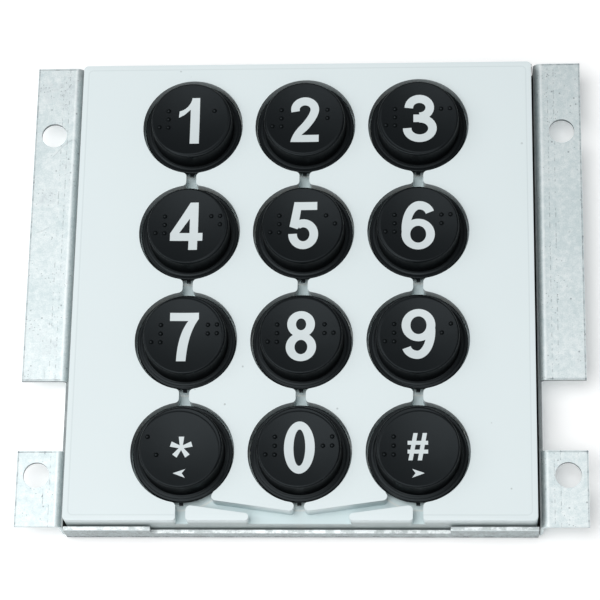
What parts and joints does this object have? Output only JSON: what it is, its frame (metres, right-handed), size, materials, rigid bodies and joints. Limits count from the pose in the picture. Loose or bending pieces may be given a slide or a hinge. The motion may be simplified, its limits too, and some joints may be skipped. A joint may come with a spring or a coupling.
{
  "type": "keypad access reader",
  "caption": "Door-entry keypad module: white front plate with round wells and drain channels, black keys with raised tactile dots, in a folded galvanised steel tray with fixing wings.",
  "frame": {"origin": "centre of the tray's back face, which is the lowest face when the module lies on its back", "axes": "+Z out of the front face, +Y towards the 1-2-3 row, +X towards the 3-6-9 column"},
  "size_m": [0.156, 0.1374, 0.0202],
  "materials": {
    "galvanised_steel": "zinc-coated sheet, dull mottled spangle",
    "white_plastic": "cool white moulding, fine satin texture",
    "black_plastic": "near-black satin moulding",
    "legend_plastic": "white second-shot inlay, satin",
    "silicone": "translucent grey silicone",
    "board_laminate": "green solder mask",
    "gold_plate": "thin gold plate",
    "chip_plastic": "black moulding compound",
    "tin_can": "plated steel can",
    "capacitor_ceramic": "fired ceramic",
    "connector_plastic": "off-white nylon",
    "zinc_steel": "bright zinc-plated"
  },
  "bodies": {
    "root": {"rear_tray": "galvanised_steel", "front_body": "white_plastic", "mat_sheet": "silicone", "return_dome_1": "silicone", "return_dome_2": "silicone", "return_dome_3": "silicone", "return_dome_4": "silicone", "return_dome_5": "silicone", "return_dome_6": "silicone", "return_dome_7": "silicone", "return_dome_8": "silicone", "return_dome_9": "silicone", "return_dome_star": "silicone", "return_dome_0": "silicone", "return_dome_hash": "silicone", "circuit_board": "board_laminate", "contact_pads": "gold_plate", "controller_chip": "chip_plastic", "driver_chip": "chip_plastic", "crystal_can": "tin_can", "chip_capacitors": "capacitor_ceramic", "chip_resistors": "chip_plastic", "connector_housing": "connector_plastic", "connector_pins": "gold_plate", "board_screws": "zinc_steel", "tray_screws": "zinc_steel"},
    "key_1": {"key_1": "black_plastic", "legend_1": "legend_plastic"},
    "key_2": {"key_2": "black_plastic", "legend_2": "legend_plastic"},
    "key_3": {"key_3": "black_plastic", "legend_3": "legend_plastic"},
    "key_4": {"key_4": "black_plastic", "legend_4": "legend_plastic"},
    "key_5": {"key_5": "black_plastic", "legend_5": "legend_plastic"},
    "key_6": {"key_6": "black_plastic", "legend_6": "legend_plastic"},
    "key_7": {"key_7": "black_plastic", "legend_7": "legend_plastic"},
    "key_8": {"key_8": "black_plastic", "legend_8": "legend_plastic"},
    "key_9": {"key_9": "black_plastic", "legend_9": "legend_plastic"},
    "key_star": {"key_star": "black_plastic", "legend_star": "legend_plastic"},
    "key_0": {"key_0": "black_plastic", "legend_0": "legend_plastic"},
    "key_hash": {"key_hash": "black_plastic", "legend_hash": "legend_plastic"}
  },
  "joints": [
    {"name": "press_1", "type": "slide", "parent": "root", "child": "key_1", "axis": [0, 0, -1], "range_m": [0, 0.0015], "stiffness_N_per_m": 700, "springref_m": -0.0006, "deforming": ["return_dome_1"]},
    {"name": "press_2", "type": "slide", "parent": "root", "child": "key_2", "axis": [0, 0, -1], "range_m": [0, 0.0015], "stiffness_N_per_m": 700, "springref_m": -0.0006, "deforming": ["return_dome_2"]},
    {"name": "press_3", "type": "slide", "parent": "root", "child": "key_3", "axis": [0, 0, -1], "range_m": [0, 0.0015], "stiffness_N_per_m": 700, "springref_m": -0.0006, "deforming": ["return_dome_3"]},
    {"name": "press_4", "type": "slide", "parent": "root", "child": "key_4", "axis": [0, 0, -1], "range_m": [0, 0.0015], "stiffness_N_per_m": 700, "springref_m": -0.0006, "deforming": ["return_dome_4"]},
    {"name": "press_5", "type": "slide", "parent": "root", "child": "key_5", "axis": [0, 0, -1], "range_m": [0, 0.0015], "stiffness_N_per_m": 700, "springref_m": -0.0006, "deforming": ["return_dome_5"]},
    {"name": "press_6", "type": "slide", "parent": "root", "child": "key_6", "axis": [0, 0, -1], "range_m": [0, 0.0015], "stiffness_N_per_m": 700, "springref_m": -0.0006, "deforming": ["return_dome_6"]},
    {"name": "press_7", "type": "slide", "parent": "root", "child": "key_7", "axis": [0, 0, -1], "range_m": [0, 0.0015], "stiffness_N_per_m": 700, "springref_m": -0.0006, "deforming": ["return_dome_7"]},
    {"name": "press_8", "type": "slide", "parent": "root", "child": "key_8", "axis": [0, 0, -1], "range_m": [0, 0.0015], "stiffness_N_per_m": 700, "springref_m": -0.0006, "deforming": ["return_dome_8"]},
    {"name": "press_9", "type": "slide", "parent": "root", "child": "key_9", "axis": [0, 0, -1], "range_m": [0, 0.0015], "stiffness_N_per_m": 700, "springref_m": -0.0006, "deforming": ["return_dome_9"]},
    {"name": "press_star", "type": "slide", "parent": "root", "child": "key_star", "axis": [0, 0, -1], "range_m": [0, 0.0015], "stiffness_N_per_m": 700, "springref_m": -0.0006, "deforming": ["return_dome_star"]},
    {"name": "press_0", "type": "slide", "parent": "root", "child": "key_0", "axis": [0, 0, -1], "range_m": [0, 0.0015], "stiffness_N_per_m": 700, "springref_m": -0.0006, "deforming": ["return_dome_0"]},
    {"name": "press_hash", "type": "slide", "parent": "root", "child": "key_hash", "axis": [0, 0, -1], "range_m": [0, 0.0015], "stiffness_N_per_m": 700, "springref_m": -0.0006, "deforming": ["return_dome_hash"]}
  ]
}
